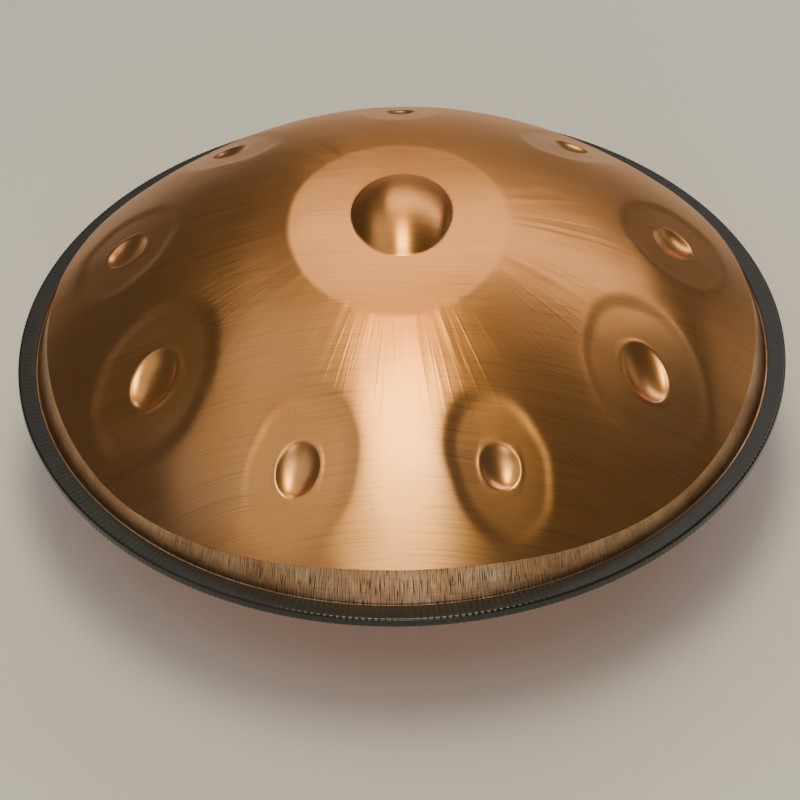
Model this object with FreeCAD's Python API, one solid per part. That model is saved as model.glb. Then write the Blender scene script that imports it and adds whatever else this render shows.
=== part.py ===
"""Handpan: two drawn steel shells glued rim to rim, with a rubber trim round the edge.

Units are millimetres. +Z is up, -Y points at the player and +X to the player's right.
The origin is on the pan's axis, at the level of the flat seat round the port below.
"""
import os
from math import atan, cos, exp, hypot, log1p, pi, radians, sin, sqrt

import FreeCAD
import Part

# Driving dimensions: the shells.
SHEET = 1.2                 # thickness of the drawn steel
FLANGE_OUTER_R = 264.5      # outside radius of the rim flange
SKIRT_FOOT_R = 254.2        # skirt's radius at the flange
SKIRT_LEAN = 0.36           # how far the skirt leans in for each unit of height
FOOT_BEND = 1.8             # outside radius of the bend from the skirt into the flange
FOOT_TOP = 8.0              # height up to which skirt and flange are one turned profile
CREASE_R = 247.4            # mean radius of the crease between skirt and dome
CREASE_RISE = 19.5          # mean height of the crease above the rim plane
CREASE_WAVE = 3.5           # half the height of the four waves that drawing leaves there
DOME_RISE = 115.0           # height of the plain dome's top above the rim plane
GLUE = 0.4                  # thickness of the glue between the flanges
SEAT_OUTER_R = 72.0         # outside radius of the flat seat round the port

# Driving dimensions: the notes. One row for each tone field round the ding: azimuth from -Y
# towards +X in degrees, radius out to its middle, turn of its long axis from -Y in degrees, half
# length and half width of the field, half length and half width of its dimple.
NOTES = (
    (19.2, 196.0, 19.2, 45.0, 33.0, 13.0, 12.5),
    (-19.2, 196.0, -19.2, 47.5, 36.5, 16.2, 14.0),
    (58.4, 190.3, 10.0, 56.0, 42.5, 19.6, 15.3),
    (-58.4, 190.3, -10.0, 57.5, 43.5, 20.2, 15.5),
    (100.3, 193.5, 10.0, 47.0, 36.0, 16.0, 13.5),
    (-100.3, 193.5, -10.0, 48.5, 37.0, 16.5, 14.0),
    (140.0, 193.0, 140.0, 43.0, 33.5, 14.0, 12.5),
    (-140.0, 193.0, -140.0, 44.0, 34.5, 14.5, 13.0),
    (180.0, 193.0, 180.0, 41.0, 32.0, 13.5, 12.0),
)
NOTE_DEPTH = 0.075          # how far a field is pressed in, over its half width
NOTE_EDGE = 0.13            # softness of a field's outline, as a share of its size
DIMPLE_DEPTH = 0.34         # a dimple's depth over its half width
DIMPLE_BOWL = 3.0           # ellipsoid's half height over the dimple's depth: the edge's steepness
DING_FIELD_HALF_X = 75.0    # the flattened oval round the ding
DING_FIELD_HALF_Y = 92.0
DING_FIELD_DEPTH = 5.0
DING_FIELD_EDGE = 0.07
DING_X = 2.8                # the ding's middle, hammered in a little off the pan's axis
DING_Y = 7.0
DING_HALF_X = 34.3          # the ding's oval dome
DING_HALF_Y = 44.5
DING_HEIGHT = 13.0
DING_BOWL = 2.2             # ellipsoid's half height over the ding's height

# Driving dimensions: the port.
PORT_R = 42.0               # inside radius of the neck
PORT_ROLL = 8.0             # outside radius of the roll from the seat into the neck
NECK_LENGTH = 20.0          # straight length of the neck above the roll

# Driving dimensions: the edge trim.
TRIM_INNER_R = 255.4        # inner edge of the trim's two lips
TRIM_OUTER_R = 268.0
TRIM_HEIGHT = 7.4
TRIM_ROUND = 1.6            # radius of the trim's outer corners
TRIM_LIP_ROUND = 0.7        # radius of its inner corners
CORE_SHEET = 0.5            # steel strip in the trim
CORE_INNER_R = 257.2        # open edges of the strip's two legs
CORE_COVER = 0.8            # rubber between the strip and the flanges
CORE_SLOTS = 105            # cross slots that let the strip bend round the rim
CORE_SLOT_WIDTH = 2.0
CORE_SLOT_REACH = 6.0       # how far a slot reaches in from the strip's open edges

# Derived sizes.
DOME_RADIUS = (CREASE_R ** 2 + (DOME_RISE - CREASE_RISE) ** 2) / (2 * (DOME_RISE - CREASE_RISE))
SEAT_DROP = DOME_RADIUS - sqrt(DOME_RADIUS ** 2 - SEAT_OUTER_R ** 2)
SHELL_DROP = DOME_RISE - SEAT_DROP          # from the lower shell's rim down to its seat
RIM_Z = SHELL_DROP + GLUE / 2               # height of the glue's middle above the seat
STACK_HALF = SHEET + GLUE / 2               # half of the two flanges and the glue
GRID_HALF = 272.0                           # half the width of the grid under the dome surface
GRID_STEPS = 68
UNDERCUT = 400.0                            # depth of the block of material under a dome surface

AXIS = FreeCAD.Vector(0, 0, 1)
ORIGIN = FreeCAD.Vector(0, 0, 0)


def press(u, v, half_u, half_v, edge):
    """How deep a field is pressed at (u, v), from 1 in its middle to 0 past its soft outline."""
    reach = (u / half_u) ** 2 + (v / half_v) ** 2
    return edge * log1p(exp((1 - reach) / edge))


def plain_dome(x, y):
    """Height of the drawn dome above the rim plane, with the waves at its edge."""
    radius = sqrt(x * x + y * y)
    # Beyond the crease the sphere runs on along its tangent.
    limit = CREASE_R + 4
    inside = min(radius, limit)
    slope = inside / sqrt(DOME_RADIUS ** 2 - inside ** 2)
    height = DOME_RISE - DOME_RADIUS + sqrt(DOME_RADIUS ** 2 - inside ** 2)
    height -= slope * (radius - inside)
    if radius > 0:
        front = -y / radius
        double = 2 * front * front - 1
        wave = 2 * double * double - 1          # cosine of four times the azimuth
        height += CREASE_WAVE * wave * (inside / CREASE_R) ** 8
    return height


def noted_dome(x, y):
    """Height of the upper dome above the rim plane, with its flattened fields."""
    height = plain_dome(x, y)
    height -= DING_FIELD_DEPTH * press(x, y, DING_FIELD_HALF_X, DING_FIELD_HALF_Y,
                                       DING_FIELD_EDGE)
    for azimuth, radius, turn, half_length, half_width, _, _ in NOTES:
        off_x = x - radius * sin(radians(azimuth))
        off_y = y + radius * cos(radians(azimuth))
        along = off_x * sin(radians(turn)) - off_y * cos(radians(turn))
        across = off_x * cos(radians(turn)) + off_y * sin(radians(turn))
        pressed = press(along, across, half_length, half_width, NOTE_EDGE)
        height -= NOTE_DEPTH * half_width * pressed
    return height


def offset_height(height, x, y, gap):
    """Height at (x, y) of the surface that lies gap below the surface height()."""
    step = 1.0
    slope_x = (height(x + step, y) - height(x - step, y)) / (2 * step)
    slope_y = (height(x, y + step) - height(x, y - step)) / (2 * step)
    return height(x, y) - gap * sqrt(1 + slope_x ** 2 + slope_y ** 2)


def block_under(height, gap):
    """Solid block whose top is the surface that lies gap below the surface height()."""
    pitch = 2 * GRID_HALF / GRID_STEPS
    stations = [-GRID_HALF + pitch * index for index in range(GRID_STEPS + 1)]
    points = [[FreeCAD.Vector(x, y, offset_height(height, x, y, gap)) for y in stations]
              for x in stations]
    surface = Part.BSplineSurface()
    surface.interpolate(points)
    return surface.toShape().extrude(FreeCAD.Vector(0, 0, -UNDERCUT))


def skirt_cone(gap):
    """Solid cone inside the skirt, gap inside the sheet's outer face, from the rim plane up."""
    inset = gap * sqrt(1 + SKIRT_LEAN ** 2)
    top_r = SKIRT_FOOT_R - SKIRT_LEAN * DOME_RISE
    return Part.makeCone(SKIRT_FOOT_R - inset, top_r - inset, DOME_RISE + DING_HEIGHT)


def ellipsoid(half_x, half_y, half_z):
    """Solid ellipsoid about the origin, with the given half axes."""
    stretch = FreeCAD.Matrix()
    stretch.scale(half_x, half_y, half_z)
    return Part.makeSphere(1.0).transformGeometry(stretch)


def cap_reach(depth, cap):
    """Half axis of an ellipsoid, depth from middle to pole, over the half axis of its cap."""
    return 1 / sqrt(1 - ((depth - cap) / depth) ** 2)


def dimple(note, gap):
    """Solid that presses a note's dimple into the dome, gap outside the sheet's outer face."""
    azimuth, radius, turn, _, _, half_length, half_width = note
    cap = DIMPLE_DEPTH * half_width
    depth = DIMPLE_BOWL * cap
    reach = cap_reach(depth, cap)
    body = ellipsoid(half_width * reach + gap, half_length * reach + gap, depth + gap)
    x = radius * sin(radians(azimuth))
    y = -radius * cos(radians(azimuth))
    fall = sqrt(DOME_RADIUS ** 2 - radius ** 2)
    normal = FreeCAD.Vector(x / fall, y / fall, 1).normalize()
    along = FreeCAD.Vector(sin(radians(turn)), -cos(radians(turn)), 0)
    along = (along - normal * along.dot(normal)).normalize()
    middle = FreeCAD.Vector(x, y, noted_dome(x, y)) + normal * (depth - cap)
    lean = FreeCAD.Rotation(along.cross(normal), along, normal, "ZYX")
    body.Placement = FreeCAD.Placement(middle, lean)
    return body


def ding_dome(gap):
    """Solid oval dome of the ding, gap inside the sheet's outer face."""
    depth = DING_BOWL * DING_HEIGHT
    reach = cap_reach(depth, DING_HEIGHT)
    body = ellipsoid(DING_HALF_X * reach - gap, DING_HALF_Y * reach - gap, depth - gap)
    field_level = DOME_RISE - DING_FIELD_DEPTH
    return body.translated(FreeCAD.Vector(DING_X, DING_Y, field_level + DING_HEIGHT - depth))


def ring(inner_r, outer_r, low, high):
    """Flat ring about the axis."""
    span = high - low
    base = FreeCAD.Vector(0, 0, low)
    return Part.makeCylinder(outer_r, span, base).cut(Part.makeCylinder(inner_r, span, base))


def upper_form(gap):
    """Everything under the upper shell's face that lies gap inside its outer face."""
    form = block_under(noted_dome, gap).common(skirt_cone(gap))
    form = form.fuse(ding_dome(gap))
    for note in NOTES:
        form = form.cut(dimple(note, gap))
    return form


def skirt_foot():
    """Flange, bend and lowest stretch of the skirt, turned about the axis from one profile."""
    lean = hypot(1, SKIRT_LEAN)
    bend_z = SHEET + FOOT_BEND
    bend_r = SKIRT_FOOT_R + FOOT_BEND * lean - SKIRT_LEAN * bend_z
    start = atan(SKIRT_LEAN)

    def on_bend(radius, share):
        """Point of an arc about the bend's middle, from the skirt at 0 to the flange at 1."""
        swing = pi + start + (pi / 2 - start) * share
        return FreeCAD.Vector(bend_r + radius * cos(swing), 0, bend_z + radius * sin(swing))

    def on_skirt(gap):
        """Point of the skirt's face at the top of this stretch."""
        return FreeCAD.Vector(SKIRT_FOOT_R - SKIRT_LEAN * FOOT_TOP - gap * lean, 0, FOOT_TOP)

    outer = [on_bend(FOOT_BEND, share) for share in (0, 0.5, 1)]
    inner = [on_bend(FOOT_BEND + SHEET, share) for share in (1, 0.5, 0)]
    rim = [FreeCAD.Vector(FLANGE_OUTER_R, 0, SHEET), FreeCAD.Vector(FLANGE_OUTER_R, 0, 0)]
    edges = [Part.LineSegment(on_skirt(0), outer[0]), Part.Arc(*outer),
             Part.LineSegment(outer[2], rim[0]), Part.LineSegment(rim[0], rim[1]),
             Part.LineSegment(rim[1], inner[0]), Part.Arc(*inner),
             Part.LineSegment(inner[2], on_skirt(SHEET)),
             Part.LineSegment(on_skirt(SHEET), on_skirt(0))]
    outline = Part.Wire([edge.toShape() for edge in edges])
    return Part.Face(outline).revolve(ORIGIN, AXIS, 360)


def shell(outer, inner):
    """Sheet between two solid forms, ending below in the flange."""
    under = Part.makeCylinder(2 * FLANGE_OUTER_R, FOOT_TOP + UNDERCUT,
                              FreeCAD.Vector(0, 0, -UNDERCUT))
    return outer.cut(inner).cut(under).fuse(skirt_foot())


def top_shell():
    """Upper shell: ding, tone fields, skirt and rim flange in one sheet."""
    wall = shell(upper_form(0), upper_form(SHEET))
    return wall.translated(FreeCAD.Vector(0, 0, RIM_Z + GLUE / 2))


def port_neck():
    """The roll and straight neck that lead from the flat seat up into the pan."""
    bend_r = PORT_R + PORT_ROLL
    outer = Part.makeTorus(bend_r, PORT_ROLL, FreeCAD.Vector(0, 0, PORT_ROLL))
    inner = Part.makeTorus(bend_r, PORT_ROLL - SHEET, FreeCAD.Vector(0, 0, PORT_ROLL))
    quarter = ring(PORT_R - 1, bend_r, 0, PORT_ROLL)
    roll = outer.cut(inner).common(quarter)
    neck = ring(PORT_R, PORT_R + SHEET, PORT_ROLL, PORT_ROLL + NECK_LENGTH)
    return roll.fuse(neck)


def bottom_shell():
    """Lower shell: the same draw as the upper one, with a flat seat, a port and no notes."""
    wide = SKIRT_FOOT_R + 1
    over = Part.makeCylinder(wide, DOME_RISE, FreeCAD.Vector(0, 0, SHELL_DROP))
    over_inside = Part.makeCylinder(wide, DOME_RISE, FreeCAD.Vector(0, 0, SHELL_DROP - SHEET))
    outer = block_under(plain_dome, 0).common(skirt_cone(0)).cut(over)
    inner = block_under(plain_dome, SHEET).common(skirt_cone(SHEET)).cut(over_inside)
    wall = shell(outer, inner).rotated(ORIGIN, FreeCAD.Vector(1, 0, 0), 180)
    wall = wall.translated(FreeCAD.Vector(0, 0, SHELL_DROP))
    hole = Part.makeCylinder(PORT_R + PORT_ROLL, 2 * SHEET, FreeCAD.Vector(0, 0, -SHEET / 2))
    return wall.cut(hole).fuse(port_neck())


def adhesive_ring():
    """Glue between the two flanges."""
    inner_r = SKIRT_FOOT_R + FOOT_BEND
    return ring(inner_r, FLANGE_OUTER_R, RIM_Z - GLUE / 2, RIM_Z + GLUE / 2)


def channel(inner_r, outer_r, half_height, wall):
    """U-section ring, open towards the axis, centred on the rim plane."""
    whole = ring(inner_r, outer_r, RIM_Z - half_height, RIM_Z + half_height)
    inside = half_height - wall
    return whole.cut(ring(inner_r, outer_r - wall, RIM_Z - inside, RIM_Z + inside))


def rim_trim_core():
    """Slotted steel channel that makes the trim grip the flanges."""
    half_height = STACK_HALF + CORE_COVER + CORE_SHEET
    outer_r = FLANGE_OUTER_R + CORE_COVER + CORE_SHEET
    strip = channel(CORE_INNER_R, outer_r, half_height, CORE_SHEET)
    slot = Part.makeBox(2 * CORE_SLOT_REACH, CORE_SLOT_WIDTH, 4 * half_height,
                        FreeCAD.Vector(CORE_INNER_R - CORE_SLOT_REACH, -CORE_SLOT_WIDTH / 2,
                                       RIM_Z - 2 * half_height))
    turns = [360 * index / CORE_SLOTS for index in range(CORE_SLOTS)]
    return strip.cut([slot.rotated(ORIGIN, AXIS, turn) for turn in turns])


def rim_trim():
    """Rubber trim pushed over the flanges, moulded round its steel channel."""
    half_height = TRIM_HEIGHT / 2
    body = ring(TRIM_INNER_R, TRIM_OUTER_R, RIM_Z - half_height, RIM_Z + half_height)
    for radius, rounding in ((TRIM_OUTER_R, TRIM_ROUND), (TRIM_INNER_R, TRIM_LIP_ROUND)):
        edges = [edge for edge in body.Edges if abs(edge.Length - 2 * pi * radius) < 0.01]
        body = body.makeFillet(rounding, edges)
    groove = ring(TRIM_INNER_R - 1, FLANGE_OUTER_R, RIM_Z - STACK_HALF, RIM_Z + STACK_HALF)
    return body.cut(groove).cut(rim_trim_core())


def main():
    """Build every piece and write one STEP file for each."""
    os.makedirs("parts", exist_ok=True)
    for make in (top_shell, bottom_shell, adhesive_ring, rim_trim, rim_trim_core):
        shape = make()
        box = shape.optimalBoundingBox()
        print(make.__name__, "solids", len(shape.Solids), "valid", shape.isValid(),
              "volume cm3", round(shape.Volume / 1000, 1),
              "z", round(box.ZMin, 2), round(box.ZMax, 2), "faces", len(shape.Faces))
        shape.exportStep(os.path.join("parts", make.__name__ + ".step"))


main()
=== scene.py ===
"""Looks of the handpan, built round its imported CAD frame.

Lengths are metres, in the frame's own axes: +Z up, -Y towards the player and +X to the
player's right.
"""
import math

import bpy
import numpy as np
from mathutils import Matrix, Vector


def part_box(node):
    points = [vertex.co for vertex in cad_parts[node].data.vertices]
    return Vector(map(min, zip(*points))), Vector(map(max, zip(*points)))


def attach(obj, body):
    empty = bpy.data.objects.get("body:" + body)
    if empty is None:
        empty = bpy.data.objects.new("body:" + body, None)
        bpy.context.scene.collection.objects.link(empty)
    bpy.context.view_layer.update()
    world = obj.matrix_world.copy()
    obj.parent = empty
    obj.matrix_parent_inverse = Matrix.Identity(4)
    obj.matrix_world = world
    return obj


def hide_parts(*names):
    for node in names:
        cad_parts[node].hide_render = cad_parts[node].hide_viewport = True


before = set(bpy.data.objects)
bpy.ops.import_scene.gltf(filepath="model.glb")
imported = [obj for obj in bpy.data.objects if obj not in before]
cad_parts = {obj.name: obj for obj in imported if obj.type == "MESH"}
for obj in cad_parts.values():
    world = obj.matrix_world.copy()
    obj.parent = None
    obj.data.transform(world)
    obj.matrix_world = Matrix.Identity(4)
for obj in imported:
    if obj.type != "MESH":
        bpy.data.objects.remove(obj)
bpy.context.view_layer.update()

MM = 0.001
DEGREE = math.pi / 180

# Places read from the frame.
GLUE_LOW, GLUE_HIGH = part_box("adhesive_ring")
RIM_Z = (GLUE_LOW.z + GLUE_HIGH.z) / 2      # rim plane: middle of the glue
GLUE_HALF = (GLUE_HIGH.z - GLUE_LOW.z) / 2
FLANGE_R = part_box("top_shell")[1].x         # outside radius of the flanges
PAN_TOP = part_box("top_shell")[1].z
TRIM_LOW, TRIM_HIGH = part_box("rim_trim")
TRIM_R = TRIM_HIGH.x

# Shape of the drawn sheet.
SHEET = 1.2 * MM                            # thickness
INNER_INSET = 1.2 * SHEET                   # the inner face's crease lies this far inside
SKIRT_FOOT_R = 254.2 * MM                   # skirt's radius at the flange
SKIRT_LEAN = 0.36                           # how far it leans in for each unit of height
CREASE_R = 247.4 * MM                       # mean radius of the crease between skirt and dome
CREASE_RISE = 19.5 * MM                     # its mean height above the rim
CREASE_WAVE = 3.5 * MM                      # half the height of its four waves
CREASE_WAVE_POWER = 8                       # how fast the waves die out towards the middle
DOME_RISE = 115.0 * MM                      # height of the plain dome's top above the rim
FOOT_BEND = 1.8 * MM                        # outside radius of the bend from skirt to flange
DOME_RADIUS = (CREASE_R ** 2 + (DOME_RISE - CREASE_RISE) ** 2) / (2 * (DOME_RISE - CREASE_RISE))
SEAT_OUTER_R = 72.0 * MM                    # flat seat round the port
PORT_R = 42.0 * MM                          # inside radius of the port's neck
PORT_ROLL = 8.0 * MM                        # outside radius of the roll into the neck
NECK_LENGTH = 20.0 * MM
NECK_EDGE = 0.3 * MM                        # bevel on the neck's end

# Notes. One row for each tone field, in degrees and millimetres: azimuth from -Y towards +X and
# radius of its middle, turn of its long axis from -Y, half length and half width of the field,
# half length and half width of its dimple. A reach of 1 is an oval's outline.
NOTES = (
    (19.2, 196.0, 19.2, 45.0, 33.0, 13.0, 12.5),
    (-19.2, 196.0, -19.2, 47.5, 36.5, 16.2, 14.0),
    (58.4, 190.3, 10.0, 56.0, 42.5, 19.6, 15.3),
    (-58.4, 190.3, -10.0, 57.5, 43.5, 20.2, 15.5),
    (100.3, 193.5, 10.0, 47.0, 36.0, 16.0, 13.5),
    (-100.3, 193.5, -10.0, 48.5, 37.0, 16.5, 14.0),
    (140.0, 193.0, 140.0, 43.0, 33.5, 14.0, 12.5),
    (-140.0, 193.0, -140.0, 44.0, 34.5, 14.5, 13.0),
    (180.0, 193.0, 180.0, 41.0, 32.0, 13.5, 12.0),
)
NOTE_DEPTH = 0.060                          # depth of a field over its half width
NOTE_EDGE = 0.13                            # softness of a field's outline
NOTE_STEP = 0.025                           # drop just inside the outline, over its half width
NOTE_STEP_START = 1.05                      # reach where that drop begins
NOTE_STEP_WIDTH = 0.26
NOTE_WOBBLE = (0.018, 0.011)                # unevenness of the outline: slow and quick waves
DIMPLE_DEPTH = 0.36                         # a dimple's depth over its half width
DIMPLE_BOWL = 3.0                           # ellipsoid's half height over the dimple's depth
DIMPLE_LIP = 0.34 * MM                      # height of the burr that the hammering leaves round it
DIMPLE_LIP_REACH = 1.06
DIMPLE_LIP_WIDTH = 1.3 * MM
EDGE_ROUND = 0.22 * MM                      # softness of the dimples' and the ding's edge
DING_FIELD_HALF_X = 75.0 * MM               # the flattened oval round the ding
DING_FIELD_HALF_Y = 92.0 * MM
DING_FIELD_DEPTH = 5.0 * MM
DING_FIELD_EDGE = 0.07                      # softness of its outline
DING_FIELD_LIP = 0.16 * MM                  # height of the raised line round the ding's field
DING_LIP_WIDTH = 2.4 * MM
DING_X = 2.8 * MM                           # the ding's middle, off the pan's axis
DING_Y = 7.0 * MM
DING_HALF_X = 34.3 * MM                     # the ding's oval dome
DING_HALF_Y = 44.5 * MM
DING_HEIGHT = PAN_TOP - RIM_Z - GLUE_HALF - DOME_RISE + DING_FIELD_DEPTH
DING_BOWL = 2.2                             # ellipsoid's half height over the ding's height
DING_FLAT_REACH = 1.3                       # the sheet is levelled out to this reach of the ding

# Unevenness of the sheet: low swells all over, and creases that fan out of the ding.
UNEVEN_SEED = 7
SWELL_LENGTHS = (0.085, 0.060, 0.045, 0.034)
SWELLS_OF_EACH = 5
SWELL_HEIGHT = 0.00055                      # over the swell's length
FAN_CREASES = 70
FAN_START = 0.074                           # radius where the creases rise, and over what length
FAN_START_LENGTH = 0.012
FAN_END = (0.100, 0.165)                    # least and greatest radius where they end
FAN_END_LENGTH = 0.035
FAN_WIDTH = (0.0014, 0.0032)
FAN_HEIGHT = 0.17 * MM

# Edge trim.
TRIM_INNER_R = 255.4 * MM                   # inner edge of the trim's two lips
TRIM_LIP_ROUND = 0.7 * MM                   # radius of the corners there
TRIM_ROUND = 1.6 * MM                       # radius of its outer corners
RIBS = 412                                  # cross ribs moulded round the trim
RIB_DEPTH = 0.15 * MM

# Mesh density.
DOME_RINGS = 120                            # rings of the upper dome; ring k has 8 k points
INNER_RINGS = DOME_RINGS // 2
AROUND = 8 * DOME_RINGS
CREASE_PASSES = 30                          # steps that settle the crease's place
SMOOTHING_PASSES = 400                      # steps that even out the grid inside SMOOTHED_REACH
SMOOTHED_REACH = 0.93
SLOPE_STEP = 1.0 * MM                       # distance over which a slope is measured
SKIRT_STEPS = (0.02, 0.05, 0.10, 0.17, 0.26, 0.36, 0.47, 0.58, 0.69, 0.80, 0.90)
FOOT_STEPS = 5                              # in the bend from skirt to flange
BELLY_STEPS = 60                            # outer face of the lower dome, seat to crease
INNER_BELLY_STEPS = 24
ROLL_STEPS = 8                              # in the roll from the seat into the neck
INNER_ROLL_STEPS = 6
RIB_STEPS = 5                               # mesh steps in each rib
LIP_STEPS = 3
CORNER_STEPS = 5

# Camera, set about the centre of the rim plane.
CAMERA_DISTANCE = 1.827
CAMERA_ELEVATION = math.radians(41.13)
CAMERA_AZIMUTH = math.radians(1.1)          # from -Y towards +X
CAMERA_TILT = math.radians(-1.27)
CAMERA_ROLL = math.radians(1.5)
CAMERA_LENS = 117.0
CAMERA_SHIFT = -0.0035                      # sideways, as a share of the picture's width
CAMERA_CLIP_END = 50
SENSOR = 36.0

# Soft lights: name, place, what it faces, width and height, power and colour.
PAN_MIDDLE = (0, 0, RIM_Z)
LIGHTS = (
    ("overhead", (0.0, -0.41, 2.2), PAN_MIDDLE, (0.58, 0.87), 17.4, (1.0, 0.90, 0.54)),
    ("overhead_back", (0.0, 0.23, 2.2), PAN_MIDDLE, (0.42, 0.42), 5.4, (1.0, 0.68, 0.25)),
    ("overhead_front", (0.0, -1.28, 2.05), PAN_MIDDLE, (1.25, 0.6), 5, (1.0, 0.93, 0.74)),
    ("back", (0.80, 1.60, 1.70), (0.8, 0, RIM_Z), (2.7, 0.55), 17.5, (1.0, 0.93, 0.90)),
    ("right", (2.55, 1.35, 0.75), PAN_MIDDLE, (1.3, 0.7), 1.1, (1.0, 0.94, 0.90)),
    ("left_front", (-1.38, -0.70, 2.0), PAN_MIDDLE, (1.75, 1.35), 4.4, (1.0, 0.97, 0.93)),
    ("left_back", (-0.85, 0.52, 2.0), PAN_MIDDLE, (0.95, 1.15), 2.5, (1.0, 0.97, 0.93)),
    ("front", (0.05, -2.5, 0.95), PAN_MIDDLE, (0.9, 1.4), 16, (1.0, 0.96, 0.92)),
)
SURROUND = (0.95, 0.96, 1.0, 1.0)
SURROUND_STRENGTH = 0.09
FLOOR_HALF = 4.0


# ---------------------------------------------------------------- shape of the sheet

def softened(value, width):
    """Ramp that is 0 below zero and value above it, with a corner rounded over width."""
    return width * np.logaddexp(0.0, value / width)


def plain_dome(x, y):
    """Height of the drawn dome above the shell's rim, with the waves at its edge."""
    radius = np.hypot(x, y)
    front = np.divide(-y, radius, out=np.ones_like(radius), where=radius > 0)
    wave = 2 * (2 * front ** 2 - 1) ** 2 - 1
    height = DOME_RISE - DOME_RADIUS + np.sqrt(DOME_RADIUS ** 2 - radius ** 2)
    return height + CREASE_WAVE * wave * (radius / CREASE_R) ** CREASE_WAVE_POWER


def note_frame(x, y, note):
    """Coordinates along and across a tone field's long axis, from its middle."""
    azimuth, radius, turn = note[0] * DEGREE, note[1] * MM, note[2] * DEGREE
    off_x = x - radius * math.sin(azimuth)
    off_y = y + radius * math.cos(azimuth)
    along = off_x * math.sin(turn) - off_y * math.cos(turn)
    across = off_x * math.cos(turn) + off_y * math.sin(turn)
    return along, across


def oval(u, v, half_u, half_v):
    """Distance from an oval's middle, as a fraction of the way to its outline."""
    return np.hypot(u / half_u, v / half_v)


def ramped(value):
    """Smooth rise from 0 at zero to 1 at one."""
    inside = np.clip(value, 0, 1)
    return inside ** 2 * (3 - 2 * inside)


def cap(reach, height, bowl):
    """Height of an ellipsoid's cap at reach, with a softened edge at reach 1."""
    half = bowl * height
    side = (half - height) / half
    inside = np.clip(reach, 0, 1)
    rise = half * np.sqrt(1 - (1 - side ** 2) * inside ** 2) - half * side
    fall = half * (1 - side ** 2) / side * np.maximum(reach - 1, 0)
    return softened(rise - fall, EDGE_ROUND)


def hammered(x, y):
    """Slight unevenness that hammering leaves in the dome, and creases that fan out of the ding."""
    random = np.random.default_rng(UNEVEN_SEED)
    height = np.zeros_like(x)
    for length in SWELL_LENGTHS:
        for _ in range(SWELLS_OF_EACH):
            turn, phase = random.uniform(0, 2 * math.pi, 2)
            step = 2 * math.pi / length * (x * math.cos(turn) + y * math.sin(turn))
            height += np.sin(step + phase) * length * SWELL_HEIGHT
    radius = np.hypot(x, y)
    azimuth = np.arctan2(x, -y)
    start = np.clip((radius - FAN_START) / FAN_START_LENGTH, 0, 1)
    for _ in range(FAN_CREASES):
        turn = random.uniform(-math.pi, math.pi)
        end = random.uniform(*FAN_END)
        width = random.uniform(*FAN_WIDTH)
        rise = random.uniform(-FAN_HEIGHT, FAN_HEIGHT)
        off = (np.mod(azimuth - turn + math.pi, 2 * math.pi) - math.pi) * radius
        fade = start * np.clip((end - radius) / FAN_END_LENGTH, 0, 1)
        height += rise * np.exp(-(off / width) ** 2) * fade
    return height


def tone_field(x, y, note, seed):
    """Depth of one tone field below the dome, with its hammered edge and its dimple."""
    _, _, _, half_length, half_width, dimple_length, dimple_width = [size * MM for size in note]
    along, across = note_frame(x, y, note)
    swing = np.arctan2(across, along)
    slow, quick = NOTE_WOBBLE
    wobble = 1 + slow * np.sin(3 * swing + seed) + quick * np.sin(7 * swing + 2.3 * seed)
    reach = oval(along, across, half_length, half_width) * wobble
    depth = NOTE_DEPTH * softened(1 - reach ** 2, NOTE_EDGE) * half_width
    depth += NOTE_STEP * ramped((NOTE_STEP_START - reach) / NOTE_STEP_WIDTH) * half_width
    dent = oval(along, across, dimple_length, dimple_width)
    depth += cap(dent, DIMPLE_DEPTH * dimple_width, DIMPLE_BOWL)
    beyond = (dent - DIMPLE_LIP_REACH) * dimple_width / DIMPLE_LIP_WIDTH
    return depth - DIMPLE_LIP * np.exp(-beyond ** 2)


def hammer_wear(x, y):
    """How far the hammer has smoothed the brushing away: half in a tone field, all in a dimple."""
    wear = np.zeros_like(x)
    for note in NOTES:
        _, _, _, half_length, half_width, dimple_length, dimple_width = [size * MM for size in note]
        along, across = note_frame(x, y, note)
        field = ramped((1.05 - oval(along, across, half_length, half_width)) / 0.35)
        dent = ramped((1.15 - oval(along, across, dimple_length, dimple_width)) / 0.15)
        wear = np.maximum(wear, 0.5 * field + 0.5 * dent)
    return wear


def noted_dome(x, y):
    """Height of the upper dome above the shell's rim: fields, dimples, ding and hammer marks."""
    height = plain_dome(x, y)
    for seed, note in enumerate(NOTES):
        height -= tone_field(x, y, note, seed)
    field = oval(x, y, DING_FIELD_HALF_X, DING_FIELD_HALF_Y)
    ding = oval(x - DING_X, y - DING_Y, DING_HALF_X, DING_HALF_Y)
    height -= DING_FIELD_DEPTH * softened(1 - field ** 2, DING_FIELD_EDGE)
    beyond = (field - 1) * DING_FIELD_HALF_X / DING_LIP_WIDTH
    height += DING_FIELD_LIP * np.exp(-beyond ** 2)
    flat = DOME_RISE - DING_FIELD_DEPTH
    height += (flat - height) * np.clip(DING_FLAT_REACH - ding, 0, 1) ** 2
    height += cap(ding, DING_HEIGHT, DING_BOWL)
    outside_ding = np.clip(2 * ding - 0.6, 0, 1)
    return height + hammered(x, y) * outside_ding


def crease(azimuth):
    """Radius and height of the crease between skirt and dome, at each azimuth from -Y."""
    radius = np.full_like(azimuth, CREASE_R)
    for _ in range(CREASE_PASSES):
        height = plain_dome(radius * np.sin(azimuth), -radius * np.cos(azimuth))
        radius += 0.5 * (SKIRT_FOOT_R - SKIRT_LEAN * height - radius)
    return radius, (SKIRT_FOOT_R - radius) / SKIRT_LEAN


# ---------------------------------------------------------------- meshes

DOME, SKIRT, INSIDE = 0, 1, 2               # material slots of the shells
RUBBER = 0                                  # the trim's only slot


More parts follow.
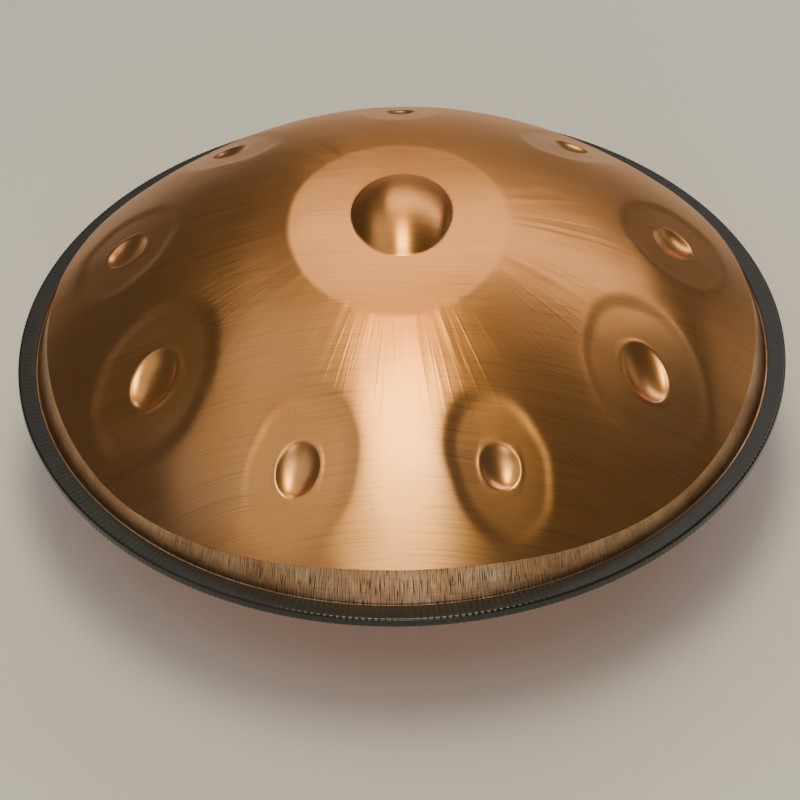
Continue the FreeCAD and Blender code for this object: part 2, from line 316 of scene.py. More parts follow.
class Builder:
    """Collects rows of points and the faces between them."""

    def __init__(self):
        self.points = []
        self.faces = []
        self.kinds = []
        self.sharp = []
        self.count = 0

    def add(self, x, y, z):
        """Adds points and returns their indices."""
        block = np.column_stack([np.ravel(x), np.ravel(y), np.ravel(z)])
        self.points.append(block)
        first = self.count
        self.count += len(block)
        return np.arange(first, self.count)

    def face(self, corners, kind):
        """Adds faces, given as an array with one face to a row."""
        self.faces.extend(corners.tolist())
        self.kinds.extend([kind] * len(corners))

    def band(self, upper, lower, kind, flip=False):
        """Closes two rings of the same length with quads."""
        corners = np.column_stack([upper, lower, np.roll(lower, -1), np.roll(upper, -1)])
        self.face(corners[:, ::-1] if flip else corners, kind)

    def halve(self, fine, coarse, kind, flip=False):
        """Closes a ring with one of half as many points."""
        one = fine[0::2]
        two = fine[1::2]
        three = np.roll(one, -1)
        after = np.roll(coarse, -1)
        first = np.column_stack([one, coarse, two])
        middle = np.column_stack([two, coarse, after])
        last = np.column_stack([two, after, three])
        for corners in (first, middle, last):
            self.face(corners[:, ::-1] if flip else corners, kind)

    def shift(self, up, turn_over):
        """Moves all points up, after turning them over about the X axis if turn_over is set."""
        points = np.concatenate(self.points)
        if turn_over:
            points[:, 1:] *= -1
        points[:, 2] += up
        self.points = [points]

    def object(self, name, materials, wear=None):
        """Makes the object, smooth shaded, with a UV map whose U runs across the brushing.

        wear, if given, says at each place in plan how far the brushing is worn away.
        """
        mesh = bpy.data.meshes.new(name)
        mesh.from_pydata(np.concatenate(self.points).tolist(), [], self.faces)
        for material in materials:
            mesh.materials.append(material)
        mesh.polygons.foreach_set("material_index", self.kinds)
        mesh.polygons.foreach_set("use_smooth", [True] * len(mesh.polygons))
        self.grain_map(mesh)
        ends = np.zeros(2 * len(mesh.edges), dtype=np.int32)
        mesh.edges.foreach_get("vertices", ends)
        sharp = np.isin(ends, self.sharp).reshape(-1, 2).all(axis=1)
        mesh.attributes.new("sharp_edge", "BOOLEAN", "EDGE").data.foreach_set("value", sharp)
        if wear:
            points = np.concatenate(self.points)
            layer = mesh.attributes.new("hammered", "FLOAT", "POINT")
            layer.data.foreach_set("value", wear(points[:, 0], points[:, 1]))
        mesh.update()
        piece = bpy.data.objects.new(name, mesh)
        bpy.context.scene.collection.objects.link(piece)
        return piece

    def grain_map(self, mesh):
        """UV map: Y and X over a dome, arc length and height round a skirt."""
        corners = np.zeros(len(mesh.loops), dtype=np.int32)
        mesh.loops.foreach_get("vertex_index", corners)
        points = np.concatenate(self.points)[corners]
        sizes = np.array([len(face) for face in self.faces])
        kinds = np.repeat(np.array(self.kinds), sizes)
        turn = np.arctan2(points[:, 0], -points[:, 1])
        face_start = np.repeat(np.cumsum(sizes) - sizes, sizes)
        lead = turn[face_start]
        turn = lead + np.mod(turn - lead + math.pi, 2 * math.pi) - math.pi
        round_skirt = kinds == SKIRT
        u = np.where(round_skirt, turn * SKIRT_FOOT_R, points[:, 1])
        v = np.where(round_skirt, points[:, 2], points[:, 0])
        layer = mesh.uv_layers.new(name="grain")
        layer.data.foreach_set("uv", np.column_stack([u, v]).ravel())


def disc(rings):
    """Square grid laid over a unit disc: reach, azimuth, quads and the outline's order."""
    steps = np.arange(-rings, rings + 1)
    a, b = [grid.astype(float) for grid in np.meshgrid(steps, steps, indexing="ij")]
    wide = np.abs(a) >= np.abs(b)
    big = np.where(wide, a, b)
    small = np.where(wide, b, a)
    ratio = np.divide(small, big, out=np.zeros_like(small), where=big != 0) * math.pi / 4
    turn = np.where(wide, ratio, math.pi / 2 - ratio) + np.where(big < 0, math.pi, 0)
    turn = np.mod(turn, 2 * math.pi)
    reach = np.abs(big) / rings
    row = 2 * rings + 1
    index = np.arange(row * row).reshape(row, row)
    quads = np.column_stack([index[:-1, :-1].ravel(), index[1:, :-1].ravel(),
                             index[1:, 1:].ravel(), index[:-1, 1:].ravel()])
    edge = np.flatnonzero(reach.ravel() >= 1)
    return reach, turn, quads, edge[np.argsort(turn.ravel()[edge])]


def between(grid, i, j):
    """Values of a grid at fractional indices."""
    low_i = np.clip(np.floor(i).astype(int), 0, grid.shape[0] - 2)
    low_j = np.clip(np.floor(j).astype(int), 0, grid.shape[1] - 2)
    part_i, part_j = i - low_i, j - low_j
    near = grid[low_i, low_j] * (1 - part_j) + grid[low_i, low_j + 1] * part_j
    far = grid[low_i + 1, low_j] * (1 - part_j) + grid[low_i + 1, low_j + 1] * part_j
    return near * (1 - part_i) + far * part_i


def crowded(off, share, spread):
    """Distances from an outline, drawn in towards it by share within about spread of it."""
    return off * (1 - share * np.exp(-(off / spread) ** 2))


def fit_oval(x, y, note, half_u, half_v, inner, outer):
    """Bends a square block of the grid into rings round an oval.

    The block's rings are counted from its middle: ring inner lies on the oval's outline, and
    ring outer, the block's edge, stays where it is.
    """
    along, across = note_frame(x, y, note)
    middle_i, middle_j = np.unravel_index(np.argmin(np.hypot(along, across)), x.shape)
    steps = np.arange(-outer, outer + 1)
    a, b = [grid.astype(float) for grid in np.meshgrid(steps, steps, indexing="ij")]
    ring = np.maximum(np.abs(a), np.abs(b))
    push = outer / np.maximum(ring, 1)
    edge_x = between(x, middle_i + a * push, middle_j + b * push)
    edge_y = between(y, middle_i + a * push, middle_j + b * push)
    edge_reach = oval(*note_frame(edge_x, edge_y, note), half_u, half_v)
    off = np.clip(1 - ring / inner, 0, 1)
    off_out = np.clip((ring - inner) / (outer - inner), 0, 1)
    inside = 1 - crowded(off, 0.65, 0.25)
    outside = crowded(off_out, 0.65, 0.25)
    reach = np.where(ring <= inner, inside, 1 + (edge_reach - 1) * outside)
    share = np.where(ring > 0, reach / edge_reach, 0)
    middle_x = note[1] * MM * math.sin(note[0] * DEGREE)
    middle_y = -note[1] * MM * math.cos(note[0] * DEGREE)
    block = np.s_[middle_i - outer:middle_i + outer + 1, middle_j - outer:middle_j + outer + 1]
    x[block] = middle_x + (edge_x - middle_x) * share
    y[block] = middle_y + (edge_y - middle_y) * share


def dome_points(rings, inset):
    """Plan positions of a disc's points over the dome, crowded towards the crease and the notes."""
    reach, turn, quads, edge = disc(rings)
    reach = 1 - crowded(1 - reach, 0.62, 0.03)
    radius = reach * (crease(turn)[0] - inset)
    x = radius * np.sin(turn)
    y = -radius * np.cos(turn)
    loose = np.s_[1:-1, 1:-1]
    free = reach[loose] < SMOOTHED_REACH
    for _ in range(SMOOTHING_PASSES):
        for grid in (x, y):
            mean = (grid[:-2, 1:-1] + grid[2:, 1:-1] + grid[1:-1, :-2] + grid[1:-1, 2:]) / 4
            grid[loose] = np.where(free, mean, grid[loose])
    spacing = CREASE_R / rings
    for note in NOTES:
        outer = round(1.7 * note[5] * MM / spacing)
        fit_oval(x, y, note, note[5] * MM, note[6] * MM, round(0.55 * outer), outer)
    outer = round(2.2 * DING_HALF_Y / spacing)
    ding = (math.atan2(DING_X, -DING_Y) / DEGREE, math.hypot(DING_X, DING_Y) / MM, 0.0)
    fit_oval(x, y, ding, DING_HALF_Y, DING_HALF_X, round(0.48 * outer), outer)
    return x.ravel(), y.ravel(), turn.ravel()[edge], quads, edge


def below(height, x, y):
    """Height of the sheet's inner face under the surface height()."""
    step = SLOPE_STEP
    slope_x = (height(x + step, y) - height(x - step, y)) / (2 * step)
    slope_y = (height(x, y + step) - height(x, y - step)) / (2 * step)
    return height(x, y) - SHEET * np.sqrt(1 + slope_x ** 2 + slope_y ** 2)


def skirt_rows(turn):
    """Radii and heights of the skirt's outer rings, from below the crease to the flange's edge."""
    radius, rise = crease(turn)
    lean = math.hypot(1, SKIRT_LEAN)
    bend_z = SHEET + FOOT_BEND
    bend_r = SKIRT_FOOT_R + FOOT_BEND * lean - SKIRT_LEAN * bend_z
    foot_z = bend_z - FOOT_BEND * SKIRT_LEAN / lean
    rows = []
    for step in SKIRT_STEPS:
        height = rise + (foot_z - rise) * step
        rows.append((SKIRT_FOOT_R - SKIRT_LEAN * height, height))
    start = math.atan2(SKIRT_LEAN, 1)
    for step in range(FOOT_STEPS + 1):
        swing = math.pi + start + (math.pi / 2 - start) * step / FOOT_STEPS
        rows.append((np.full_like(turn, bend_r + FOOT_BEND * math.cos(swing)),
                     np.full_like(turn, bend_z + FOOT_BEND * math.sin(swing))))
    for edge_r, edge_z in ((FLANGE_R, SHEET), (FLANGE_R, 0.0)):
        rows.append((np.full_like(turn, edge_r), np.full_like(turn, edge_z)))
    return rows


def close_rim(build, turn, crease_ring):
    """Adds skirt, flange and inner skirt below a crease. Returns the inner skirt's top ring."""
    build.sharp = crease_ring
    last = crease_ring
    for radius, height in skirt_rows(turn):
        ring = build.add(radius * np.sin(turn), -radius * np.cos(turn), height)
        build.band(last, ring, SKIRT, flip=True)
        last = ring
    half = turn[0::2]
    inset = SHEET * math.hypot(1, SKIRT_LEAN)
    _, rise = crease(half)
    coarse = None
    for height in (np.zeros_like(half), np.full_like(half, 3 * MM), rise * 0.6):
        radius = SKIRT_FOOT_R - inset - SKIRT_LEAN * height
        ring = build.add(radius * np.sin(half), -radius * np.cos(half), height)
        if coarse is None:
            build.halve(last, ring, INSIDE, flip=True)
        else:
            build.band(coarse, ring, INSIDE, flip=True)
        coarse = ring
    return coarse


def top_shell(materials):
    """Upper shell, both faces, with all that is hammered into it."""
    build = Builder()
    x, y, turn, quads, edge = dome_points(DOME_RINGS, 0.0)
    points = build.add(x, y, noted_dome(x, y))
    build.face(points[quads], DOME)
    inner_skirt = close_rim(build, turn, points[edge])
    x, y, _, quads, edge = dome_points(INNER_RINGS, INNER_INSET)
    points = build.add(x, y, below(noted_dome, x, y))
    build.face(points[quads][:, ::-1], INSIDE)
    build.band(inner_skirt, points[edge], INSIDE, flip=True)
    build.shift(RIM_Z + GLUE_HALF, turn_over=False)
    return build.object("upper_shell", materials, hammer_wear)


def port_profile(seat):
    """Radii and heights of the outer face from the seat, at height seat, to the neck's end."""
    bend_r = PORT_R + PORT_ROLL
    profile = [(SEAT_OUTER_R - 8 * MM, seat), (bend_r + 6 * MM, seat)]
    for step in range(ROLL_STEPS + 1):
        swing = math.pi / 2 * step / ROLL_STEPS
        profile.append((bend_r - PORT_ROLL * math.sin(swing),
                        seat - PORT_ROLL * (1 - math.cos(swing))))
    end = seat - PORT_ROLL - NECK_LENGTH
    neck_outer_r = PORT_R + SHEET
    return profile + [(PORT_R, end + NECK_LENGTH / 2), (PORT_R, end + NECK_EDGE),
                      (PORT_R + NECK_EDGE, end), (neck_outer_r - NECK_EDGE, end),
                      (neck_outer_r, end + NECK_EDGE)]


def inner_port_profile(seat):
    """Radii and heights of the inner face, up the outside of the neck and round the roll."""
    bend_r = PORT_R + PORT_ROLL
    roll = PORT_ROLL - SHEET
    profile = [(PORT_R + SHEET, seat - PORT_ROLL)]
    for step in range(1, INNER_ROLL_STEPS + 1):
        swing = math.pi / 2 * (1 - step / INNER_ROLL_STEPS)
        profile.append((bend_r - roll * math.sin(swing),
                        seat - SHEET - roll * (1 - math.cos(swing))))
    return profile


def outer_belly(build, turn, seat):
    """Adds the lower dome's outer face. Returns its rings at the seat and at the crease."""
    crease_r, _ = crease(turn)
    rings = []
    for step in range(BELLY_STEPS + 1):
        part = 1 - crowded(1 - step / BELLY_STEPS, 0.6, 0.04)
        radius = SEAT_OUTER_R + (crease_r - SEAT_OUTER_R) * part
        x = radius * np.sin(turn)
        y = -radius * np.cos(turn)
        rings.append(build.add(x, y, np.minimum(plain_dome(x, y), seat)))
    for outer, inner in zip(rings[1:], rings):
        build.band(inner, outer, DOME, flip=True)
    return rings[0], rings[-1]


def inner_belly(build, turn, seat, last):
    """Adds the lower dome's inner face, outward from ring last. Returns its outermost ring."""
    crease_r, _ = crease(turn)
    for step in range(INNER_BELLY_STEPS + 1):
        reach = (crease_r - INNER_INSET - SEAT_OUTER_R) * step / INNER_BELLY_STEPS
        x = (SEAT_OUTER_R + reach) * np.sin(turn)
        y = -(SEAT_OUTER_R + reach) * np.cos(turn)
        ring = build.add(x, y, np.minimum(below(plain_dome, x, y), seat - SHEET))
        build.band(last, ring, INSIDE)
        last = ring
    return last


def bottom_shell(materials):
    """Lower shell: the same draw turned over, flat round the port, with its rolled neck."""
    build = Builder()
    turn = np.arange(AROUND) * 2 * math.pi / AROUND
    seat = DOME_RISE - (DOME_RADIUS - math.sqrt(DOME_RADIUS ** 2 - SEAT_OUTER_R ** 2))
    last, crease_ring = outer_belly(build, turn, seat)
    inner_skirt = close_rim(build, turn, crease_ring)
    for radius, height in port_profile(seat):
        ring = build.add(radius * np.sin(turn), -radius * np.cos(turn), np.full_like(turn, height))
        build.band(last, ring, DOME)
        last = ring
    half = turn[0::2]
    coarse = None
    for radius, height in inner_port_profile(seat):
        ring = build.add(radius * np.sin(half), -radius * np.cos(half), np.full_like(half, height))
        if coarse is None:
            build.halve(last, ring, INSIDE)
        else:
            build.band(coarse, ring, INSIDE)
        coarse = ring
    build.band(inner_belly(build, half, seat, coarse), inner_skirt, INSIDE)
    build.shift(RIM_Z - GLUE_HALF, turn_over=True)
    return build.object("lower_shell", materials)


def trim_profile():
    """Outline of the trim's section as (radius, height, how much of a rib it carries)."""
    half = (TRIM_HIGH.z - TRIM_LOW.z) / 2
    stack = SHEET + GLUE_HALF
    outline = [(TRIM_INNER_R, stack, 0.0)]
    for step in range(LIP_STEPS + 1):
        swing = math.pi / 2 * step / LIP_STEPS
        outline.append((TRIM_INNER_R + TRIM_LIP_ROUND * (1 - math.cos(swing)),
                        half - TRIM_LIP_ROUND * (1 - math.sin(swing)), step / LIP_STEPS))
    flat_width = TRIM_R - TRIM_INNER_R - TRIM_LIP_ROUND - TRIM_ROUND
    for share in (0.2, 0.5, 0.8):
        outline.append((TRIM_INNER_R + TRIM_LIP_ROUND + flat_width * share, half, 1.0))
    for step in range(CORNER_STEPS + 1):
        swing = math.pi / 2 * step / CORNER_STEPS
        outline.append((TRIM_R - TRIM_ROUND * (1 - math.sin(swing)),
                        half - TRIM_ROUND * (1 - math.cos(swing)), 1.0))
    lower = [(radius, -height, rib) for radius, height, rib in reversed(outline)]
    groove = [(FLANGE_R, -stack, 0.0), (FLANGE_R, stack, 0.0)]
    return outline + lower + groove


def rim_trim(material):
    """Rubber edge trim with its fine cross ribs."""
    build = Builder()
    steps = RIBS * RIB_STEPS
    turn = np.arange(steps) * 2 * math.pi / steps
    rib = 0.5 - 0.5 * np.cos(2 * math.pi * np.arange(steps) / RIB_STEPS)
    half = (TRIM_HIGH.z - TRIM_LOW.z) / 2
    rings = []
    for radius, height, share in trim_profile():
        sunk = RIB_DEPTH * share * rib
        out = np.clip((radius - FLANGE_R) / (TRIM_R - FLANGE_R), 0, 1) if share else 0.0
        up = np.sign(height) * min(1.0, (abs(height) / half) ** 2) if share else 0.0
        ring_r = radius - sunk * out
        ring_z = height - sunk * up
        rings.append(build.add(ring_r * np.sin(turn), -ring_r * np.cos(turn),
                               ring_z * np.ones_like(turn)))
    for upper, lower in zip(rings, rings[1:] + rings[:1]):
        build.band(upper, lower, RUBBER)
    build.shift(RIM_Z, turn_over=False)
    return build.object("edge_trim", [material])


# ---------------------------------------------------------------- materials

MIX_SHARE, MIX_ONE, MIX_TWO = 0, 6, 7       # sockets of a colour Mix node
MIXED = 2


class Shader:
    """Short hand for building one material's nodes."""

    def __init__(self, name):
        self.material = bpy.data.materials.new(name)
        self.material.use_nodes = True
        self.nodes = self.material.node_tree.nodes
        self.links = self.material.node_tree.links
        self.surface = self.nodes["Principled BSDF"]

    def add(self, kind, **values):
        """Adds a node and sets its properties, or its inputs by name."""
        made = self.nodes.new("ShaderNode" + kind)
        for key, value in values.items():
            if key in made.inputs:
                made.inputs[key].default_value = value
            else:
                setattr(made, key, value)
        return made

    def link(self, source, output, target, entry):
        """Joins an output of one node to an input of another."""
        self.links.new(source.outputs[output], target.inputs[entry])

    def lines(self, source, output, scale, detail=2.0):
        """Noise stretched by scale: streaks that run along the axis with the smallest number."""
        mapping = self.add("Mapping", Scale=scale)
        self.link(source, output, mapping, "Vector")
        noise = self.add("TexNoise", Scale=1.0, Detail=detail, Roughness=0.6)
        self.link(mapping, "Vector", noise, "Vector")
        return noise

    def ramp(self, source, output, *stops):
        """Colour ramp through (place, colour) stops."""
        ramp = self.add("ValToRGB")
        elements = ramp.color_ramp.elements
        while len(elements) < len(stops):
            elements.new(0.5)
        for element, (place, colour) in zip(elements, stops):
            element.position = place
            element.color = (*colour, 1.0)
        self.link(source, output, ramp, "Fac")
        return ramp

    def mix(self, kind, share, one, two):
        """Mixes two colours; share is a number or a (node, output) pair."""
        mixed = self.add("Mix", data_type="RGBA", blend_type=kind)
        if isinstance(share, tuple):
            self.links.new(share[0].outputs[share[1]], mixed.inputs[MIX_SHARE])
        else:
            mixed.inputs[MIX_SHARE].default_value = share
        for entry, (source, output) in ((MIX_ONE, one), (MIX_TWO, two)):
            self.links.new(source.outputs[output], mixed.inputs[entry])
        return mixed

    def span(self, source, output, low, high, from_low=0.3, from_high=0.7):
        """Maps a noise value onto a range of numbers."""
        ranged = self.add("MapRange")
        ranged.inputs["From Min"].default_value = from_low
        ranged.inputs["From Max"].default_value = from_high
        ranged.inputs["To Min"].default_value = low
        ranged.inputs["To Max"].default_value = high
        self.link(source, output, ranged, "Value")
        return ranged

    def plan_radius(self, place):
        """Distance from the pan's axis, and the node that flattens place to find it."""
        flat = self.add("VectorMath", operation="MULTIPLY")
        flat.inputs[1].default_value = (-1.0, -1.0, 0.0)
        self.link(place, "Object", flat, 0)
        radius = self.add("VectorMath", operation="LENGTH")
        self.link(flat, "Vector", radius, 0)
        return radius, flat

    def bump(self, source, output, strength, distance, under=None):
        """Bump from a height, laid over another bump if under is given."""
        made = self.add("Bump", Strength=strength, Distance=distance)
        self.link(source, output, made, "Height")
        if under:
            self.link(under, "Normal", made, "Normal")
        return made


# Colours of the heat-coloured steel.
DEEP_WARM = (0.82, 0.36, 0.108)
DEEP_DARK = (0.78, 0.325, 0.092)
WARM = (0.80, 0.37, 0.120)
PINK = (0.78, 0.38, 0.160)
DARK = (0.75, 0.335, 0.105)
SKIRT_WARM = (0.66, 0.40, 0.22)
SKIRT_PALE = (0.74, 0.52, 0.34)
SKIRT_DARK = (0.54, 0.30, 0.15)

# Colours of the other pieces.
INSIDE_DARK = (0.20, 0.15, 0.12)
INSIDE_PALE = (0.34, 0.27, 0.22)
RUBBER_BLACK = (0.0130, 0.0135, 0.0145)
RUBBER_DUSTY = (0.0200, 0.0205, 0.0215)
GLUE_DEEP = (0.55, 0.47, 0.30)
GLUE_PALE = (0.72, 0.65, 0.47)
PAPER = (0.80, 0.79, 0.78, 1.0)


def grey(value):
    """A grey colour."""
    return (value, value, value)


def brushed_steel(name):
    """Heat-coloured steel brushed from side to side, deeper in colour towards the middle."""
    shade = Shader(name)
    surface = shade.surface
    place = shade.add("TexCoord")
    patches = shade.lines(place, "Object", (9, 9, 9), 3.0)
    deep = shade.ramp(patches, "Fac", (0.30, DEEP_DARK), (0.55, DEEP_WARM))
    pale = shade.ramp(patches, "Fac", (0.30, DARK), (0.48, WARM), (0.68, PINK))
    radius, flat = shade.plan_radius(place)
    outward = shade.span(radius, "Value", 0.0, 1.0, 0.10, 0.19)
    tone = shade.mix("MIX", (outward, "Result"), (deep, "Color"), (pale, "Color"))
    fine = shade.lines(place, "Object", (14, 1500, 0), 3.0)
    long = shade.lines(place, "Object", (6, 700, 0), 2.0)
    fine_tint = shade.ramp(fine, "Fac", (0.28, grey(0.66)), (0.5, grey(1.0)), (0.8, grey(1.0)))
    long_tint = shade.ramp(long, "Fac", (0.30, grey(0.92)), (0.52, grey(1.0)))
    worn = shade.add("Attribute", attribute_name="hammered")
    clear = shade.span(worn, "Fac", 0.9, 0.15, 0.0, 1.0)
    tinted = shade.mix("MULTIPLY", (clear, "Result"), (tone, MIXED), (fine_tint, "Color"))
    tinted = shade.mix("MULTIPLY", (clear, "Result"), (tinted, MIXED), (long_tint, "Color"))
    specks = shade.lines(place, "Object", (700, 1100, 700), 0.0)
    speck_tint = shade.ramp(specks, "Fac", (0.13, grey(0.3)), (0.16, grey(1.0)))
    tinted = shade.mix("MULTIPLY", 1.0, (tinted, MIXED), (speck_tint, "Color"))
    shade.link(tinted, MIXED, surface, "Base Color")
    rough = shade.span(fine, "Fac", 0.28, 0.33)
    shade.link(rough, "Result", surface, "Roughness")
    surface.inputs["Metallic"].default_value = 1.0
    polish = shade.span(worn, "Fac", 0.72, 0.15, 0.0, 1.0)
    shade.link(polish, "Result", surface, "Anisotropic")
    tangent = shade.add("Tangent", direction_type="UV_MAP", uv_map="grain")
    shade.link(tangent, "Tangent", surface, "Tangent")
    coarse_bump = shade.bump(long, "Fac", 0.05, 0.00002)
    fine_bump = shade.bump(fine, "Fac", 0.30, 0.00002, coarse_bump)
    threads = fan_threads(shade, flat, radius)
    thread_bump = shade.bump(threads, "Value", 0.16, 0.00025, fine_bump)
    shade.link(thread_bump, "Normal", surface, "Normal")
    return shade.material


def fan_threads(shade, flat, radius):
    """Height of the fine threads that hammering raised in a fan outside the ding's field."""
    parts = shade.add("SeparateXYZ")
    shade.link(flat, "Vector", parts, "Vector")
    azimuth = shade.add("Math", operation="ARCTAN2")
    shade.link(parts, "X", azimuth, 0)
    shade.link(parts, "Y", azimuth, 1)
    polar = shade.add("CombineXYZ")
    shade.link(azimuth, "Value", polar, "X")
    shade.link(radius, "Value", polar, "Y")
    noise = shade.lines(polar, "Vector", (36, 9, 1), 1.0)
    peaks = shade.span(noise, "Fac", 0.0, 1.0, 0.52, 0.66)
    reach = shade.ramp(radius, "Value", (0.088, grey(0.0)), (0.104, grey(1.0)),
                       (0.135, grey(1.0)), (0.170, grey(0.0)))
    height = shade.add("Math", operation="MULTIPLY")
    shade.link(peaks, "Result", height, 0)
    shade.link(reach, "Color", height, 1)
    return height


def drawn_steel(name):
    """Skirt steel with the upright lines that deep drawing leaves and painted highlight glints
    beside them, both plainest towards the sides.
    """
    shade = Shader(name)
    surface = shade.surface
    place = shade.add("UVMap", uv_map="grain")
    broad = shade.lines(place, "UV", (25, 25, 1), 4.0)
    tone = shade.ramp(broad, "Fac", (0.30, SKIRT_DARK), (0.5, SKIRT_WARM), (0.7, SKIRT_PALE))
    upright = shade.lines(place, "UV", (1500, 70, 1), 1.0)
    dashes = shade.ramp(upright, "Fac", (0.37, grey(0.05)), (0.42, grey(0.82)), (0.60, grey(1.0)))
    # Painted highlight: thin bright glint streaks that lift the colour above the steel's own,
    # beside the dashes.
    bright = shade.lines(place, "UV", (1900, 60, 1), 1.0)
    painted_glints = shade.ramp(bright, "Fac", (0.57, grey(0.80)), (0.63, grey(1.42)))
    level = shade.lines(place, "UV", (70, 1500, 1), 2.0)
    rows = shade.ramp(level, "Fac", (0.34, grey(0.66)), (0.55, grey(1.0)))
    parts = shade.add("SeparateXYZ")
    shade.link(shade.add("TexCoord"), "Object", parts, "Vector")
    # Strength of the dashes and of the painted highlight glints: full at the front (-Y), faint
    # everywhere else.
    share = shade.span(parts, "Y", 0.95, 0.12, -0.250, -0.185)
    tinted = shade.mix("MULTIPLY", (share, "Result"), (tone, "Color"), (dashes, "Color"))
    tinted = shade.mix("MULTIPLY", (share, "Result"), (tinted, MIXED), (painted_glints, "Color"))
    tinted = shade.mix("MULTIPLY", 0.7, (tinted, MIXED), (rows, "Color"))
    shade.link(tinted, MIXED, surface, "Base Color")
    rough = shade.span(upright, "Fac", 0.50, 0.32)
    shade.link(rough, "Result", surface, "Roughness")
    surface.inputs["Metallic"].default_value = 1.0
    shade.link(shade.bump(upright, "Fac", 0.9, 0.00010), "Normal", surface, "Normal")
    return shade.material


def raw_steel(name):
    """Inside of the shells: nitrided grey-brown steel, unbrushed."""
    shade = Shader(name)
    place = shade.add("TexCoord")
    cloud = shade.lines(place, "Object", (14, 14, 14), 5.0)
    tone = shade.ramp(cloud, "Fac", (0.35, INSIDE_DARK), (0.65, INSIDE_PALE))
    shade.link(tone, "Color", shade.surface, "Base Color")
    rough = shade.span(cloud, "Fac", 0.38, 0.55)
    shade.link(rough, "Result", shade.surface, "Roughness")
    shade.surface.inputs["Metallic"].default_value = 1.0
    grain = shade.lines(place, "Object", (900, 900, 900), 3.0)
    shade.link(shade.bump(grain, "Fac", 0.4, 0.00005), "Normal", shade.surface, "Normal")
    return shade.material


def trim_rubber():
    """Matt black rubber, slightly dusty, with a fine moulded grain, rubbed shiny at its edge."""
    shade = Shader("trim_rubber")
    place = shade.add("TexCoord")
    dust = shade.lines(place, "Object", (35, 35, 35), 4.0)
    tone = shade.ramp(dust, "Fac", (0.35, RUBBER_BLACK), (0.75, RUBBER_DUSTY))
    shade.link(tone, "Color", shade.surface, "Base Color")
    radius, _ = shade.plan_radius(place)
    rubbed = shade.span(radius, "Value", 0.50, 0.13, TRIM_R - 1.9 * MM, TRIM_R - 1.1 * MM)
    shade.link(rubbed, "Result", shade.surface, "Roughness")
    shade.surface.inputs["Specular IOR Level"].default_value = 0.45
    grain = shade.lines(place, "Object", (1800, 1800, 1800), 2.0)
    shade.link(shade.bump(grain, "Fac", 0.35, 0.00004), "Normal", shade.surface, "Normal")
    return shade.material


def cured_glue():
    """Pale epoxy with slight clouding."""
    shade = Shader("rim_glue")
    place = shade.add("TexCoord")
    cloud = shade.lines(place, "Object", (60, 60, 60), 3.0)
    tone = shade.ramp(cloud, "Fac", (0.35, GLUE_DEEP), (0.7, GLUE_PALE))
    shade.link(tone, "Color", shade.surface, "Base Color")
    shade.surface.inputs["Roughness"].default_value = 0.3
    return shade.material


def strip_steel():
    """Bare steel strip, with rolling marks."""
    shade = Shader("strip_steel")
    place = shade.add("TexCoord")
    marks = shade.lines(place, "Object", (400, 400, 2500), 2.0)
    tone = shade.ramp(marks, "Fac", (0.3, grey(0.36)), (0.7, grey(0.55)))
    shade.link(tone, "Color", shade.surface, "Base Color")
    shade.surface.inputs["Metallic"].default_value = 1.0
    rough = shade.span(marks, "Fac", 0.30, 0.45)
    shade.link(rough, "Result", shade.surface, "Roughness")
    return shade.material


def paper_floor():
    """Plain pale studio paper."""
    shade = Shader("studio_paper")
    shade.surface.inputs["Base Color"].default_value = PAPER
    shade.surface.inputs["Roughness"].default_value = 0.9
    return shade.material


# ---------------------------------------------------------------- studio

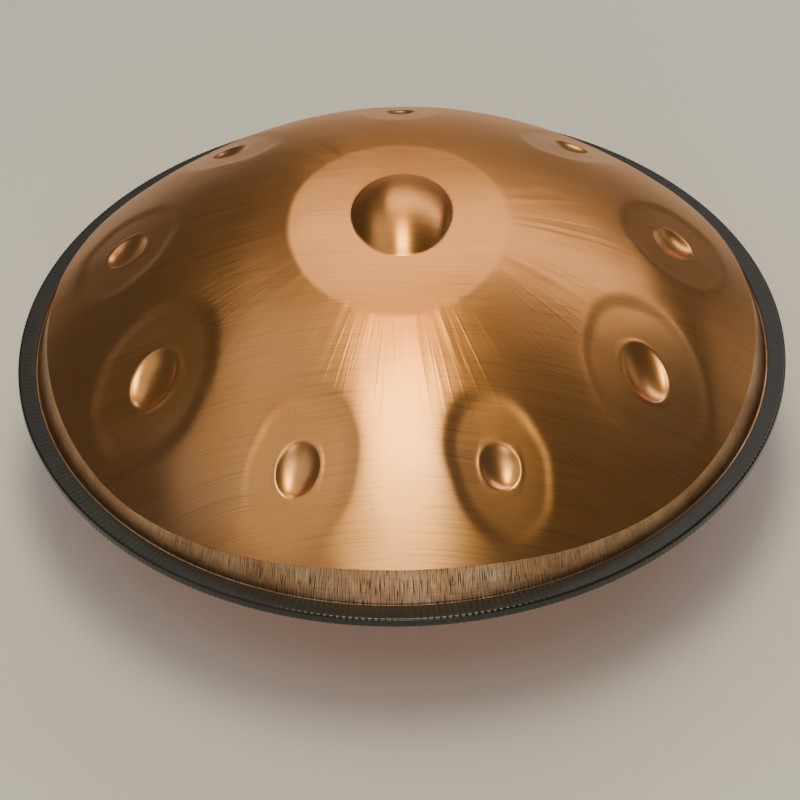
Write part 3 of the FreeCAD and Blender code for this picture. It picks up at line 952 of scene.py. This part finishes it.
def camera():
    """Camera at the player's side, looking down at the pan."""
    data = bpy.data.cameras.new("camera")
    data.lens = CAMERA_LENS
    data.sensor_width = SENSOR
    data.clip_end = CAMERA_CLIP_END
    data.shift_x = CAMERA_SHIFT
    turn, rise = CAMERA_AZIMUTH, CAMERA_ELEVATION
    right = Vector((math.cos(turn), math.sin(turn), 0))
    back = Vector((math.sin(turn) * math.cos(rise), -math.cos(turn) * math.cos(rise),
                   math.sin(rise)))
    up = back.cross(right)
    level = Matrix((right, up, back)).transposed()
    tilt = Matrix.Rotation(CAMERA_TILT, 3, "X")
    roll = Matrix.Rotation(-CAMERA_ROLL, 3, "Z")
    made = bpy.data.objects.new("camera", data)
    made.matrix_world = (Matrix.Translation(Vector((0, 0, RIM_Z)) + back * CAMERA_DISTANCE)
                         @ (level @ tilt @ roll).to_4x4())
    bpy.context.scene.collection.objects.link(made)
    bpy.context.scene.camera = made


def softbox(name, place, aim, size, power, colour):
    """Rectangular soft light at place, turned to aim."""
    data = bpy.data.lights.new(name, "AREA")
    data.shape = "RECTANGLE"
    data.size, data.size_y = size
    data.energy = power
    data.color = colour
    made = bpy.data.objects.new(name, data)
    made.location = place
    made.rotation_euler = (Vector(aim) - Vector(place)).to_track_quat("-Z", "Y").to_euler()
    bpy.context.scene.collection.objects.link(made)


def studio():
    """Pale floor, dim even surround and the soft lights."""
    world = bpy.data.worlds.new("surround")
    bpy.context.scene.world = world
    world.use_nodes = True
    background = world.node_tree.nodes["Background"]
    background.inputs["Color"].default_value = SURROUND
    background.inputs["Strength"].default_value = SURROUND_STRENGTH
    for light in LIGHTS:
        softbox(*light)
    mesh = bpy.data.meshes.new("studio_floor")
    half = FLOOR_HALF
    mesh.from_pydata([(-half, -half, 0), (half, -half, 0), (half, half, 0), (-half, half, 0)],
                     [], [(0, 1, 2, 3)])
    mesh.materials.append(paper_floor())
    floor = bpy.data.objects.new("studio_floor", mesh)
    bpy.context.scene.collection.objects.link(floor)


# ---------------------------------------------------------------- assembly

camera()
studio()
finishes = [brushed_steel("dome_steel"), drawn_steel("skirt_steel"), raw_steel("inside_steel")]
for piece, node, slot in ((top_shell(finishes), "top_shell", "upper_shell_steel"),
                          (bottom_shell(finishes), "bottom_shell", "lower_shell_steel"),
                          (rim_trim(trim_rubber()), "rim_trim", "trim_rubber")):
    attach(piece, "root")
    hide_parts(node)

for node, material in (("adhesive_ring", cured_glue()), ("rim_trim_core", strip_steel())):
    cad_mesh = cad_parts[node].data
    cad_mesh.materials.clear()
    cad_mesh.materials.append(material)
